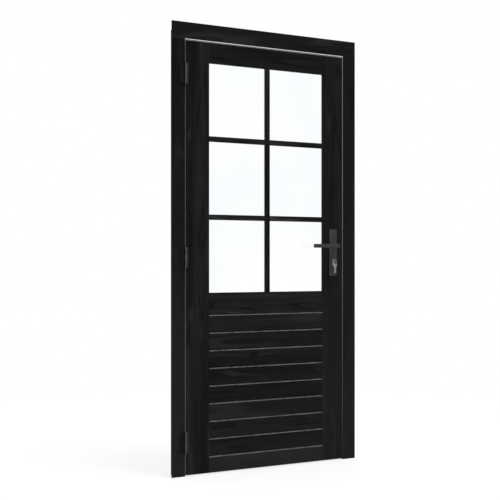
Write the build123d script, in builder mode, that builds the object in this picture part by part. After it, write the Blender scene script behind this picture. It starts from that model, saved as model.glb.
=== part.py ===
# A glazed timber door in its frame: six panes over a panel of boards, hung on three hinges,
# with a mortise lock, a lever and a pull handle on long plates, and keys in the cylinder.
# Lengths are millimetres. The origin is on the floor, in the middle of the width and of the
# leaf's thickness. The hinge side of the leaf looks towards -Y, and the hinges are at -X.
import os
from math import atan, degrees

from build123d import *

os.makedirs("parts", exist_ok=True)

# Door opening: outside of the frame, leaf and the gaps around it
frame_width = 1030
frame_height = 2100
leaf_thickness = 40
jamb_face = 72
head_face = 76
side_gap = 3
top_gap = 4
floor_gap = 5

# Frame section: a flange laps the wall, a liner stands in the opening, a stop meets the leaf
flange_thickness = 14
flange_back_bevel = 8
liner_setback = 30
stop_gap = 1.5
stop_width = 15
stop_depth = 26
frame_arris = 3
fixing_radius = 5
fixing_inset = 400
corner_screw_radius = 2.5
corner_screw_head = 5
corner_screw_length = 90
corner_screw_shares = [0.25, 0.75]
seal_width = 4.5
seal_setback = 3.5
seal_clearance = 1.5

# Leaf: stiles, rails and the arris along its front edges
stile_width = 121
top_rail_height = 100
middle_rail_bottom = 743
middle_rail_height = 104
bottom_rail_height = 77
leaf_arris = 5
tenon_length = 60
tenon_thickness = 12
tenon_shoulder = 16

# Glazing: panes near the front, shallow bars, and splayed beads that hold the panes from behind
pane_rows = 3
bar_width = 25
bar_stub = 10
sight_lip = 6
rebate_depth = 9
glass_thickness = 4
glass_bite = 7
bead_depth = 14
bead_toe = 2
bead_heel = 1
reveal_splay = 12
mitre_gap = 0.3

# Panel of tongued and grooved boards
board_count = 8
board_thickness = 24
board_arris = 5
tongue_thickness = 6
tongue_length = 6
board_end_tongue = 10

# Hinges: one plate lies on the jamb's face, the other is let into the leaf's edge
hinge_height = 92
hinge_top_inset = 158
hinge_bottom_inset = 152
knuckle_radius = 7
knuckle_count = 5
hinge_pin_radius = 4
pin_head_height = 3
hinge_plate_thickness = 2.5
frame_plate_width = 24
leaf_plate_width = 24
hinge_screw_shares = [(0.3, 0.12), (0.7, 0.36), (0.7, 0.64), (0.3, 0.88)]

# Countersunk screws
screw_radius = 2
screw_head_radius = 4
screw_length = 22

# Lock: backset, and the heights of the handle over the middle rail and of the key under it
backset = 60
handle_above_rail = 223
cylinder_drop = 72
case_depth = 86
case_thickness = 17
case_wall = 2
case_above = 54
case_below = 44
forend_width = 22
forend_height = 236
forend_thickness = 3
forend_screw_inset = 10
strike_thickness = 2.5
strike_play = 0.4

# Latch bolt, deadbolt and the follower that draws the latch
latch_thickness = 12
latch_height = 18
latch_throw = 11
latch_length = 42
latch_nose_flat = 2
latch_tail_height = 5
latch_tail_thickness = 6
latch_lug_length = 7
bolt_height = 30
bolt_length = 64
bolt_throw = 20
bolt_inset = 0.5
bolt_lift = 33
pocket_depth_spare = 4
follower_radius = 10
follower_arm_reach = 17.2
follower_arm_tip = 3
follower_arm_thickness = 8
spindle_size = 8
spring_thickness = 0.8
spring_height = 18

# Profile cylinder with its plugs, cam and keys
profile_radius = 8.5
profile_lobe_radius = 5
profile_height = 33
cylinder_proud = 1
plug_radius = 6
cam_thickness = 10
cam_ring_radius = 7.5
cam_reach = 15
cam_lobe_width = 8
cylinder_screw_radius = 2.5
cylinder_screw_head = 4.5
cylinder_screw_drop = 20
key_thickness = 2.2
key_blade_height = 8
key_blade_length = 18
key_bow_radius = 9.5
key_neck = 1.5
key_hole_radius = 2.5
key_hole_offset = 4
key_ring_radius = 9
key_ring_wire = 0.9
spare_key_reach = 62

# Handles
handle_plate_width = 43
handle_plate_height = 232
handle_plate_thickness = 5
handle_plate_drop = 32
handle_plate_corner = 9
handle_plate_edge = 1.5
handle_bolt_inset = 13
handle_bolt_radius = 2.5
handle_bolt_head = 5
handle_post_radius = 4.5
handle_post_length = 14
lever_neck_radius = 9
lever_projection = 50
lever_length = 144
lever_height = 19
lever_thickness = 12
lever_tip_corner = 4
lever_edge = 3
grub_radius = 2.5
pull_radius = 7
pull_bend = 22
pull_below = 46
pull_above = 52

# Clearances and the overrun of cuts
joinery_fit = 0.2
running_fit = 0.1
pin_fit = 0.05
lock_play = 0.3
knuckle_play = 0.6
hole_room = 2
countersink_angle = 90
overrun = 5

# Places worked out from the sizes above
frame_half = frame_width / 2
jamb_inner = frame_half - jamb_face
jamb_top = frame_height - head_face
leaf_half = jamb_inner - side_gap
leaf_bottom = floor_gap
leaf_top = jamb_top - top_gap
front_y = -leaf_thickness / 2
back_y = leaf_thickness / 2
flange_back_y = front_y + flange_thickness
stop_y = back_y + stop_gap
frame_back_y = stop_y + stop_depth
sight_half = leaf_half - stile_width
sight_top = leaf_top - top_rail_height
middle_rail_top = middle_rail_bottom + middle_rail_height
panel_bottom = leaf_bottom + bottom_rail_height
pane_height = (sight_top - middle_rail_top - (pane_rows - 1) * bar_width) / pane_rows
bar_half = bar_width / 2
web_half = bar_half - rebate_depth
glass_front_y = front_y + sight_lip
glass_back_y = glass_front_y + glass_thickness
bar_back_y = glass_back_y + bead_depth
halving_y = (glass_front_y + bar_back_y) / 2
board_back_y = front_y + board_thickness
tongue_front_y = front_y + (board_thickness - tongue_thickness) / 2
tongue_back_y = tongue_front_y + tongue_thickness
board_pitch = (middle_rail_bottom - panel_bottom) / board_count
liner_half = frame_half - liner_setback
fixing_places = [(0, fixing_inset), (0, frame_height - fixing_inset)]


def jamb_plan(side):
    """Corner points of a jamb's section; side is -1 at the hinges and 1 at the lock."""
    return [
        (side * frame_half, front_y),
        (side * (jamb_inner + frame_arris), front_y),
        (side * jamb_inner, front_y + frame_arris),
        (side * jamb_inner, stop_y),
        (side * (jamb_inner - stop_width), stop_y),
        (side * (jamb_inner - stop_width), frame_back_y),
        (side * liner_half, frame_back_y),
        (side * liner_half, flange_back_y),
        (side * (frame_half - flange_back_bevel), flange_back_y),
    ]


def block(x_span, y_span, z_span, mode=Mode.ADD):
    """A square block between three pairs of limits, added to or cut from the open part."""
    spans = (x_span, y_span, z_span)
    centre = tuple((low + high) / 2 for low, high in spans)
    size = tuple(abs(high - low) for low, high in spans)
    with Locations(centre):
        Box(*size, mode=mode)


def corner_screw_places(side):
    """Heads of the screws that tie the head to a jamb, on top of the head's liner."""
    x = side * (jamb_inner + liner_half) / 2
    depth = frame_back_y - flange_back_y
    return [(x, flange_back_y + share * depth, frame_height - liner_setback) for share in corner_screw_shares]


def countersunk_screw(radius, head_radius, length):
    """A countersunk screw, hanging down from the top of its head at the origin."""
    with BuildPart() as screw:
        with BuildSketch(Plane.XZ):
            with BuildLine():
                Polyline(
                    (0, 0),
                    (head_radius, 0),
                    (radius, radius - head_radius),
                    (radius, -length),
                    (0, -length),
                    close=True,
                )
            make_face()
        revolve(axis=Axis.Z)
    return screw.part


# Hinge positions: the pin stands in front of the gap, so that the leaf opens towards -Y
hinge_axis_x = -(leaf_half + side_gap / 2)
hinge_axis_y = front_y - knuckle_radius
hinge_low = leaf_bottom + hinge_bottom_inset
hinge_high = leaf_top - hinge_top_inset
hinge_centres = {"bottom": hinge_low, "middle": (hinge_low + hinge_high) / 2, "top": hinge_high}
knuckle_pitch = hinge_height / knuckle_count
knuckle_length = knuckle_pitch - lock_play
frame_plate_inner = hinge_axis_x - knuckle_radius - knuckle_play
frame_plate_outer = frame_plate_inner - frame_plate_width
frame_plate_y = front_y - hinge_plate_thickness / 2
leaf_plate_front = front_y + leaf_arris
leaf_plate_inner = hinge_plate_thickness - leaf_half
leaf_plate_x = leaf_plate_inner - hinge_plate_thickness / 2


def frame_screw_planes(centre):
    """Seats of the screws in a hinge's frame plate, facing out of the plate."""
    y = front_y - hinge_plate_thickness
    low = centre - hinge_height / 2
    seats = [
        (frame_plate_outer + u * frame_plate_width, low + v * hinge_height) for u, v in hinge_screw_shares
    ]
    return [Plane((x, y, z), (1, 0, 0), (0, -1, 0)) for x, z in seats]


def leaf_screw_planes(centre):
    """Seats of the screws in a hinge's leaf plate, facing out of the leaf's edge."""
    low = centre - hinge_height / 2
    seats = [(leaf_plate_front + u * leaf_plate_width, low + v * hinge_height) for u, v in hinge_screw_shares]
    return [Plane((-leaf_half, y, z), (0, 1, 0), (-1, 0, 0)) for y, z in seats]


all_frame_screws = [plane for centre in hinge_centres.values() for plane in frame_screw_planes(centre)]
all_leaf_screws = [plane for centre in hinge_centres.values() for plane in leaf_screw_planes(centre)]

# Lock positions
handle_height = middle_rail_top + handle_above_rail
spindle_x = leaf_half - backset
cylinder_z = handle_height - cylinder_drop
case_top = handle_height + case_above
case_bottom = cylinder_z - case_below
case_front_x = leaf_half - forend_thickness
case_back_x = case_front_x - case_depth
case_half = case_thickness / 2
cavity_half = case_half - case_wall
forend_z = (case_top + case_bottom) / 2
forend_screw_reach = forend_height / 2 - forend_screw_inset
latch_z = handle_height + follower_arm_reach
bolt_z = cylinder_z + bolt_lift
plate_z = handle_height - handle_plate_drop
plate_face_y = back_y + handle_plate_thickness
cylinder_half = plate_face_y + cylinder_proud
profile_lobe_drop = profile_height - profile_radius - profile_lobe_radius
forend_screw_planes = [
    Plane((leaf_half, 0, forend_z + end * forend_screw_reach), (0, 1, 0), (1, 0, 0)) for end in (-1, 1)
]
strike_screw_planes = [
    Plane((jamb_inner, 0, forend_z + end * forend_screw_reach), (0, 1, 0), (-1, 0, 0)) for end in (-1, 1)
]
cylinder_screw_plane = Plane((leaf_half, 0, cylinder_z - cylinder_screw_drop), (0, 1, 0), (1, 0, 0))
handle_bolt_spacing = handle_plate_height - 2 * handle_bolt_inset
handle_bolt_places = [(spindle_x, plate_z + end * handle_bolt_spacing / 2) for end in (-1, 1)]

plate_screw = countersunk_screw(screw_radius, screw_head_radius, screw_length)

# Frame: the hinge jamb stands on the floor and carries the head
with BuildPart() as hinge_jamb:
    with BuildSketch(Plane.XY):
        with BuildLine():
            Polyline(*jamb_plan(-1), close=True)
        make_face()
    extrude(amount=jamb_top)
    with BuildSketch(Plane.YZ.offset(-jamb_inner)):
        with Locations(*fixing_places):
            Circle(fixing_radius)
    extrude(amount=-jamb_face, mode=Mode.SUBTRACT)
    with Locations(*all_frame_screws):
        Hole(screw_radius + pin_fit, depth=screw_length + hole_room)
    with Locations(*corner_screw_places(-1)):
        Hole(corner_screw_radius + pin_fit, depth=corner_screw_length + hole_room)
hinge_jamb.part.label = "hinge_jamb"
export_step(hinge_jamb.part, "parts/hinge_jamb.step")

# The lock jamb is let out for the strike plate and for the bolts behind it
with BuildPart() as lock_jamb:
    with BuildSketch(Plane.XY):
        with BuildLine():
            Polyline(*jamb_plan(1), close=True)
        make_face()
    extrude(amount=jamb_top)
    with BuildSketch(Plane.YZ.offset(jamb_inner)):
        with Locations(*fixing_places):
            Circle(fixing_radius)
    extrude(amount=jamb_face, mode=Mode.SUBTRACT)
    with BuildSketch(Plane.YZ.offset(jamb_inner)):
        with Locations((0, forend_z)):
            Rectangle(forend_width, forend_height)
    extrude(amount=strike_thickness, mode=Mode.SUBTRACT)
    with BuildSketch(Plane.YZ.offset(jamb_inner)):
        with Locations((0, latch_z)):
            Rectangle(latch_thickness + 2 * strike_play, latch_height + 2 * hole_room)
    extrude(amount=latch_throw - side_gap + pocket_depth_spare, mode=Mode.SUBTRACT)
    with BuildSketch(Plane.YZ.offset(jamb_inner)):
        with Locations((0, bolt_z)):
            Rectangle(latch_thickness + 2 * strike_play, bolt_height + 2 * hole_room)
    extrude(amount=bolt_throw - side_gap + pocket_depth_spare, mode=Mode.SUBTRACT)
    with Locations(*strike_screw_planes):
        Hole(screw_radius + pin_fit, depth=screw_length + hole_room)
    with Locations(*corner_screw_places(1)):
        Hole(corner_screw_radius + pin_fit, depth=corner_screw_length + hole_room)
lock_jamb.part.label = "lock_jamb"
export_step(lock_jamb.part, "parts/lock_jamb.step")

# The head lies across both jambs; its liner and stop stand between them
with BuildPart() as frame_head:
    with BuildSketch(Plane.XY.offset(jamb_top)):
        with BuildLine():
            Polyline(
                (-frame_half, front_y),
                (frame_half, front_y),
                (frame_half - flange_back_bevel, flange_back_y),
                (flange_back_bevel - frame_half, flange_back_y),
                close=True,
            )
        make_face()
    extrude(amount=head_face)
    with BuildSketch(Plane.YZ):
        with BuildLine():
            Polyline(
                (front_y, frame_height),
                (flange_back_y, frame_height - flange_back_bevel),
                (flange_back_y, frame_height),
                close=True,
            )
        make_face()
    extrude(amount=frame_half, both=True, mode=Mode.SUBTRACT)
    with BuildSketch(Plane.YZ):
        with BuildLine():
            Polyline(
                (front_y, jamb_top),
                (front_y, jamb_top + frame_arris),
                (front_y + frame_arris, jamb_top),
                close=True,
            )
        make_face()
    extrude(amount=jamb_inner, both=True, mode=Mode.SUBTRACT)
    block((-liner_half, liner_half), (flange_back_y, frame_back_y), (jamb_top, frame_height - liner_setback))
    stop_half = jamb_inner - stop_width
    block((-stop_half, stop_half), (stop_y, frame_back_y), (jamb_top - stop_width, jamb_top))
    with Locations(*corner_screw_places(-1), *corner_screw_places(1)):
        CounterSinkHole(
            corner_screw_radius + pin_fit,
            corner_screw_head + pin_fit,
            depth=corner_screw_length + hole_room,
            counter_sink_angle=countersink_angle,
        )
frame_head.part.label = "frame_head"
export_step(frame_head.part, "parts/frame_head.step")

corner_screw = countersunk_screw(corner_screw_radius, corner_screw_head, corner_screw_length)
with BuildPart() as frame_corner_screws:
    add([corner_screw.moved(Location(seat)) for side in (-1, 1) for seat in corner_screw_places(side)])
frame_corner_screws.part.label = "frame_corner_screws"
export_step(frame_corner_screws.part, "parts/frame_corner_screws.step")

# Draught seals: strips stuck round the sides and top of the opening, close behind the leaf's front
seal_front_y = front_y + seal_setback
seal_depth = (seal_front_y, seal_front_y + seal_width)
seal_inner = leaf_half + seal_clearance
with BuildPart() as edge_seals:
    for side in (-1, 1):
        block((side * seal_inner, side * jamb_inner), seal_depth, (floor_gap, jamb_top))
    head_reach = seal_inner - mitre_gap
    block((-head_reach, head_reach), seal_depth, (leaf_top + seal_clearance, jamb_top))
edge_seals.part.label = "edge_seals"
export_step(edge_seals.part, "parts/edge_seals.step")

# Strike plate, let in flush with the rebate of the lock jamb
with BuildPart() as strike_plate:
    with BuildSketch(Plane.YZ.offset(jamb_inner)):
        with Locations((0, forend_z)):
            Rectangle(forend_width, forend_height)
        with Locations((0, latch_z)):
            Rectangle(latch_thickness + 2 * strike_play, latch_height + 2 * hole_room, mode=Mode.SUBTRACT)
        with Locations((0, bolt_z)):
            Rectangle(latch_thickness + 2 * strike_play, bolt_height + 2 * hole_room, mode=Mode.SUBTRACT)
    extrude(amount=strike_thickness)
    with Locations(*strike_screw_planes):
        CounterSinkHole(
            screw_radius + pin_fit,
            screw_head_radius + pin_fit,
            depth=strike_thickness + overrun,
            counter_sink_angle=countersink_angle,
        )
strike_plate.part.label = "strike_plate"
export_step(strike_plate.part, "parts/strike_plate.step")

with BuildPart() as strike_screws:
    add([plate_screw.moved(plane.location) for plane in strike_screw_planes])
strike_screws.part.label = "strike_screws"
export_step(strike_screws.part, "parts/strike_screws.step")

# Hinges: knuckles of the two plates take turns along one pin
for place, centre in hinge_centres.items():
    hinge_bottom = centre - hinge_height / 2
    knuckle_starts = [hinge_bottom + i * knuckle_pitch + lock_play / 2 for i in range(knuckle_count)]

    with BuildPart() as frame_plate:
        with BuildSketch(Plane.XY.offset(hinge_bottom)):
            with Locations(((frame_plate_outer + frame_plate_inner) / 2, frame_plate_y)):
                Rectangle(frame_plate_width, hinge_plate_thickness)
        extrude(amount=hinge_height)
        for start in knuckle_starts[::2]:
            with BuildSketch(Plane.XY.offset(start)):
                with Locations((hinge_axis_x, hinge_axis_y)):
                    Circle(knuckle_radius)
                with Locations(((frame_plate_inner + hinge_axis_x) / 2, frame_plate_y)):
                    Rectangle(hinge_axis_x - frame_plate_inner, hinge_plate_thickness)
            extrude(amount=knuckle_length)
        with BuildSketch(Plane.XY.offset(hinge_bottom)):
            with Locations((hinge_axis_x, hinge_axis_y)):
                Circle(hinge_pin_radius + pin_fit)
        extrude(amount=hinge_height, mode=Mode.SUBTRACT)
        with Locations(*frame_screw_planes(centre)):
            CounterSinkHole(
                screw_radius + pin_fit,
                screw_head_radius + pin_fit,
                depth=hinge_plate_thickness + overrun,
                counter_sink_angle=countersink_angle,
            )
    frame_plate.part.label = f"hinge_frame_plate_{place}"
    export_step(frame_plate.part, f"parts/hinge_frame_plate_{place}.step")

    with BuildPart() as leaf_plate:
        with BuildSketch(Plane.XY.offset(hinge_bottom)):
            with Locations((leaf_plate_x, leaf_plate_front + leaf_plate_width / 2)):
                Rectangle(hinge_plate_thickness, leaf_plate_width)
        extrude(amount=hinge_height)
        for start in knuckle_starts[1::2]:
            with BuildSketch(Plane.XY.offset(start)):
                with Locations((hinge_axis_x, hinge_axis_y)):
                    Circle(knuckle_radius)
                with Locations((leaf_plate_x, (hinge_axis_y + leaf_plate_front) / 2)):
                    Rectangle(hinge_plate_thickness, leaf_plate_front - hinge_axis_y)
            extrude(amount=knuckle_length)
        with BuildSketch(Plane.XY.offset(hinge_bottom)):
            with Locations((hinge_axis_x, hinge_axis_y)):
                Circle(hinge_pin_radius + pin_fit)
        extrude(amount=hinge_height, mode=Mode.SUBTRACT)
        with Locations(*leaf_screw_planes(centre)):
            CounterSinkHole(
                screw_radius + pin_fit,
                screw_head_radius + pin_fit,
                depth=hinge_plate_thickness + overrun,
                counter_sink_angle=countersink_angle,
            )
    leaf_plate.part.label = f"hinge_leaf_plate_{place}"
    export_step(leaf_plate.part, f"parts/hinge_leaf_plate_{place}.step")

# Hinge pins with a button head at each end
pin_end = hinge_height / 2
with BuildPart() as pin:
    with BuildSketch(Plane.XZ):
        with BuildLine():
            Polyline(
                (0, -pin_end - pin_head_height),
                (hinge_pin_radius, -pin_end - pin_head_height),
                (knuckle_radius - lock_play, -pin_end),
                (hinge_pin_radius, -pin_end),
                (hinge_pin_radius, pin_end),
                (knuckle_radius - lock_play, pin_end),
                (hinge_pin_radius, pin_end + pin_head_height),
                (0, pin_end + pin_head_height),
                close=True,
            )
        make_face()
    revolve(axis=Axis.Z)

with BuildPart() as hinge_pins:
    add([pin.part.moved(Location((hinge_axis_x, hinge_axis_y, z))) for z in hinge_centres.values()])
hinge_pins.part.label = "hinge_pins"
export_step(hinge_pins.part, "parts/hinge_pins.step")

with BuildPart() as hinge_frame_screws:
    add([plate_screw.moved(plane.location) for plane in all_frame_screws])
hinge_frame_screws.part.label = "hinge_frame_screws"
export_step(hinge_frame_screws.part, "parts/hinge_frame_screws.step")

with BuildPart() as hinge_leaf_screws:
    add([plate_screw.moved(plane.location) for plane in all_leaf_screws])
hinge_leaf_screws.part.label = "hinge_leaf_screws"
export_step(hinge_leaf_screws.part, "parts/hinge_leaf_screws.step")

# Leaf frame: heights of the rails and of their tenons
rail_spans = {
    "bottom_rail": (leaf_bottom, panel_bottom),
    "middle_rail": (middle_rail_bottom, middle_rail_top),
    "top_rail": (sight_top, leaf_top),
}
tenon_spans = {
    name: (low + tenon_shoulder, high - tenon_shoulder) for name, (low, high) in rail_spans.items()
}
bar_centres = {
    "lower": middle_rail_top + pane_height + bar_half,
    "upper": sight_top - pane_height - bar_half,
}


def cut_flare(x_span, z_span, y_span, growth):
    """Cuts an opening that widens towards the back, by growth on each side, from the open part."""
    depth = y_span[1] - y_span[0]
    start = (sum(x_span) / 2, y_span[0], sum(z_span) / 2)
    with BuildSketch(Plane(start, x_dir=(1, 0, 0), z_dir=(0, 1, 0))) as opening:
        Rectangle(x_span[1] - x_span[0], z_span[1] - z_span[0])
    splay = degrees(atan(growth / depth))
    extrude(opening.sketch, amount=depth, taper=-splay, mode=Mode.SUBTRACT)


def cut_reveal():
    """Cuts the splay round the glass, behind the beads, from the open stile or rail."""
    cut_flare((-sight_half - rebate_depth, sight_half + rebate_depth),
              (middle_rail_top - rebate_depth, sight_top + rebate_depth),
              (bar_back_y, back_y), reveal_splay)


def stile_blank(side):
    """A stile with its arris, glass rebate, panel groove and mortises; side is -1 or 1."""
    outer = side * leaf_half
    inner = side * sight_half
    with BuildPart() as stile:
        with BuildSketch(Plane.XY.offset(leaf_bottom)):
            with BuildLine():
                Polyline(
                    (outer, back_y),
                    (inner, back_y),
                    (inner, front_y),
                    (outer - side * leaf_arris, front_y),
                    (outer, front_y + leaf_arris),
                    close=True,
                )
            make_face()
        extrude(amount=leaf_top - leaf_bottom)
        top_front = stile.edges().filter_by(Axis.X).group_by(Axis.Z)[-1].sort_by(Axis.Y)[0]
        chamfer(top_front, leaf_arris)
        rebate = (inner - side * overrun, inner + side * rebate_depth)
        block(rebate, (glass_front_y, back_y + overrun),
              (middle_rail_top - rebate_depth, sight_top + rebate_depth), Mode.SUBTRACT)
        cut_reveal()
        groove = (inner - side * overrun, inner + side * (board_end_tongue + joinery_fit))
        block(groove, (tongue_front_y - joinery_fit, tongue_back_y + joinery_fit),
              (panel_bottom, middle_rail_bottom), Mode.SUBTRACT)
        mortise = (inner - side * overrun, inner + side * (tenon_length + joinery_fit))
        tenon_half = tenon_thickness / 2 + joinery_fit
        for low, high in tenon_spans.values():
            block(mortise, (-tenon_half, tenon_half), (low - joinery_fit, high + joinery_fit), Mode.SUBTRACT)
        stub = (inner, inner + side * (rebate_depth + bar_stub + joinery_fit))
        for z in bar_centres.values():
            block(stub, (glass_front_y - joinery_fit, bar_back_y + joinery_fit),
                  (z - web_half - joinery_fit, z + web_half + joinery_fit), Mode.SUBTRACT)
    return stile.part


hinge_stile_blank = stile_blank(-1)
lock_stile_blank = stile_blank(1)

# The hinge stile is let in for the leaf plates
with BuildPart() as hinge_stile:
    add(hinge_stile_blank)
    for centre in hinge_centres.values():
        block((-leaf_half - overrun, leaf_plate_inner),
              (front_y - overrun, leaf_plate_front + leaf_plate_width),
              (centre - hinge_height / 2, centre + hinge_height / 2), Mode.SUBTRACT)
    with Locations(*all_leaf_screws):
        Hole(screw_radius + pin_fit, depth=screw_length + hole_room)
hinge_stile.part.label = "hinge_stile"
export_step(hinge_stile.part, "parts/hinge_stile.step")


def draw_cylinder_profile(grow=0):
    """Outline of the profile cylinder, seen along it, drawn in the open sketch."""
    with Locations((spindle_x, cylinder_z)):
        Circle(profile_radius + grow)
    with Locations((spindle_x, cylinder_z - profile_lobe_drop / 2)):
        Rectangle(2 * (profile_lobe_radius + grow), profile_lobe_drop)
    with Locations((spindle_x, cylinder_z - profile_lobe_drop)):
        Circle(profile_lobe_radius + grow)


# The lock stile holds the case in a deep mortise and is bored for the handle
with BuildPart() as lock_stile:
    add(lock_stile_blank)
    block((case_back_x - lock_play, leaf_half + overrun), (-case_half - lock_play, case_half + lock_play),
          (case_bottom - lock_play, case_top + lock_play), Mode.SUBTRACT)
    block((case_front_x, leaf_half + overrun), (-forend_width / 2, forend_width / 2),
          (forend_z - forend_height / 2, forend_z + forend_height / 2), Mode.SUBTRACT)
    with BuildSketch(Plane.XZ):
        with Locations((spindle_x, handle_height)):
            Circle(lever_neck_radius + hole_room)
        with Locations(*handle_bolt_places):
            Circle(handle_post_radius + lock_play)
        draw_cylinder_profile(lock_play)
    extrude(amount=leaf_thickness, both=True, mode=Mode.SUBTRACT)
    with Locations(*forend_screw_planes):
        Hole(screw_radius + pin_fit, depth=screw_length + hole_room)
lock_stile.part.label = "lock_stile"
export_step(lock_stile.part, "parts/lock_stile.step")

# Rails with tenons at both ends
tenon_reach = sight_half + tenon_length
tenon_half = tenon_thickness / 2

with BuildPart() as top_rail:
    with BuildSketch(Plane.YZ):
        with BuildLine():
            Polyline(
                (front_y, sight_top),
                (glass_front_y, sight_top),
                (glass_front_y, sight_top + rebate_depth),
                (back_y, sight_top + rebate_depth),
                (back_y, leaf_top),
                (front_y + leaf_arris, leaf_top),
                (front_y, leaf_top - leaf_arris),
                close=True,
            )
        make_face()
    extrude(amount=sight_half, both=True)
    block((-tenon_reach, tenon_reach), (-tenon_half, tenon_half), tenon_spans["top_rail"])
    cut_reveal()
    block((-web_half - joinery_fit, web_half + joinery_fit),
          (glass_front_y - joinery_fit, bar_back_y + joinery_fit),
          (sight_top, sight_top + rebate_depth + bar_stub + joinery_fit), Mode.SUBTRACT)
top_rail.part.label = "top_rail"
export_step(top_rail.part, "parts/top_rail.step")

groove_top = middle_rail_bottom + tongue_length + joinery_fit
with BuildPart() as middle_rail:
    with BuildSketch(Plane.YZ):
        with BuildLine():
            Polyline(
                (front_y, middle_rail_top),
                (glass_front_y, middle_rail_top),
                (glass_front_y, middle_rail_top - rebate_depth),
                (back_y, middle_rail_top - rebate_depth),
                (back_y, middle_rail_bottom),
                (tongue_back_y + joinery_fit, middle_rail_bottom),
                (tongue_back_y + joinery_fit, groove_top),
                (tongue_front_y - joinery_fit, groove_top),
                (tongue_front_y - joinery_fit, middle_rail_bottom),
                (front_y + board_arris, middle_rail_bottom),
                (front_y, middle_rail_bottom + board_arris),
                close=True,
            )
        make_face()
    extrude(amount=sight_half, both=True)
    block((-tenon_reach, tenon_reach), (-tenon_half, tenon_half), tenon_spans["middle_rail"])
    cut_reveal()
    block((-web_half - joinery_fit, web_half + joinery_fit),
          (glass_front_y - joinery_fit, bar_back_y + joinery_fit),
          (middle_rail_top - rebate_depth - bar_stub - joinery_fit, middle_rail_top), Mode.SUBTRACT)
middle_rail.part.label = "middle_rail"
export_step(middle_rail.part, "parts/middle_rail.step")

with BuildPart() as bottom_rail:
    with BuildSketch(Plane.YZ):
        with BuildLine():
            Polyline(
                (front_y, leaf_bottom),
                (back_y, leaf_bottom),
                (back_y, panel_bottom),
                (tongue_back_y, panel_bottom),
                (tongue_back_y, panel_bottom + tongue_length),
                (tongue_front_y, panel_bottom + tongue_length),
                (tongue_front_y, panel_bottom),
                (front_y + board_arris, panel_bottom),
                (front_y, panel_bottom - board_arris),
                close=True,
            )
        make_face()
    extrude(amount=sight_half, both=True)
    block((-tenon_reach, tenon_reach), (-tenon_half, tenon_half), tenon_spans["bottom_rail"])
bottom_rail.part.label = "bottom_rail"
export_step(bottom_rail.part, "parts/bottom_rail.step")

# Panel boards, numbered from the bottom, each tongued into the next and into the stiles
for index in range(board_count):
    low = panel_bottom + index * board_pitch
    high = low + board_pitch
    groove_end = low + tongue_length + joinery_fit
    with BuildPart() as board:
        with BuildSketch(Plane.YZ):
            with BuildLine():
                Polyline(
                    (front_y, low + board_arris),
                    (front_y + board_arris, low),
                    (tongue_front_y - joinery_fit, low),
                    (tongue_front_y - joinery_fit, groove_end),
                    (tongue_back_y + joinery_fit, groove_end),
                    (tongue_back_y + joinery_fit, low),
                    (board_back_y, low),
                    (board_back_y, high),
                    (tongue_back_y, high),
                    (tongue_back_y, high + tongue_length),
                    (tongue_front_y, high + tongue_length),
                    (tongue_front_y, high),
                    (front_y + board_arris, high),
                    (front_y, high - board_arris),
                    close=True,
                )
            make_face()
        extrude(amount=sight_half, both=True)
        for side in (-1, 1):
            end_tongue = (side * sight_half, side * (sight_half + board_end_tongue))
            block(end_tongue, (tongue_front_y, tongue_back_y), (low, high))
    board.part.label = f"panel_board_{index + 1}"
    export_step(board.part, f"parts/panel_board_{index + 1}.step")

# Glazing bars: a wide nose in front, a thin web between the panes, stubs let into the frame
web_reach = sight_half + rebate_depth + bar_stub
with BuildPart() as upright_bar:
    with BuildSketch(Plane.XY.offset(middle_rail_top)):
        with Locations((0, (front_y + glass_front_y) / 2)):
            Rectangle(bar_width, sight_lip)
    extrude(amount=sight_top - middle_rail_top)
    web_low = middle_rail_top - rebate_depth - bar_stub
    web_high = sight_top + rebate_depth + bar_stub
    block((-web_half, web_half), (glass_front_y, bar_back_y), (web_low, web_high))
    for z in bar_centres.values():
        block((-bar_half, bar_half), (halving_y, bar_back_y + overrun),
              (z - web_half - joinery_fit, z + web_half + joinery_fit), Mode.SUBTRACT)
upright_bar.part.label = "upright_bar"
export_step(upright_bar.part, "parts/upright_bar.step")

for place, z in bar_centres.items():
    with BuildPart() as cross_bar:
        with BuildSketch(Plane.YZ):
            with Locations(((front_y + glass_front_y) / 2, z)):
                Rectangle(sight_lip, bar_width)
        extrude(amount=sight_half, both=True)
        block((-web_reach, web_reach), (glass_front_y, bar_back_y), (z - web_half, z + web_half))
        block((-bar_half, bar_half), (front_y - overrun, glass_front_y),
              (z - bar_half, z + bar_half), Mode.SUBTRACT)
        block((-web_half - joinery_fit, web_half + joinery_fit), (glass_front_y, halving_y),
              (z - bar_half, z + bar_half), Mode.SUBTRACT)
    cross_bar.part.label = f"cross_bar_{place}"
    export_step(cross_bar.part, f"parts/cross_bar_{place}.step")

# Panes, and four mitred beads behind each
sight_columns = {"left": (-sight_half, -bar_half), "right": (bar_half, sight_half)}
sight_rows = {
    "bottom": (middle_rail_top, middle_rail_top + pane_height),
    "middle": (bar_centres["lower"] + bar_half, bar_centres["upper"] - bar_half),
    "top": (sight_top - pane_height, sight_top),
}
sights = {
    f"{row}_{column}": (*row_span, *column_span)
    for row, row_span in sight_rows.items()
    for column, column_span in sight_columns.items()
}
for place, (low, high, left, right) in sights.items():
    with BuildPart() as pane:
        with BuildSketch(Plane.XZ.offset(-glass_front_y)):
            with Locations(((left + right) / 2, (low + high) / 2)):
                Rectangle(right - left + 2 * glass_bite, high - low + 2 * glass_bite)
        extrude(amount=-glass_thickness)
    pane.part.label = f"pane_{place}"
    export_step(pane.part, f"parts/pane_{place}.step")

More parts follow.
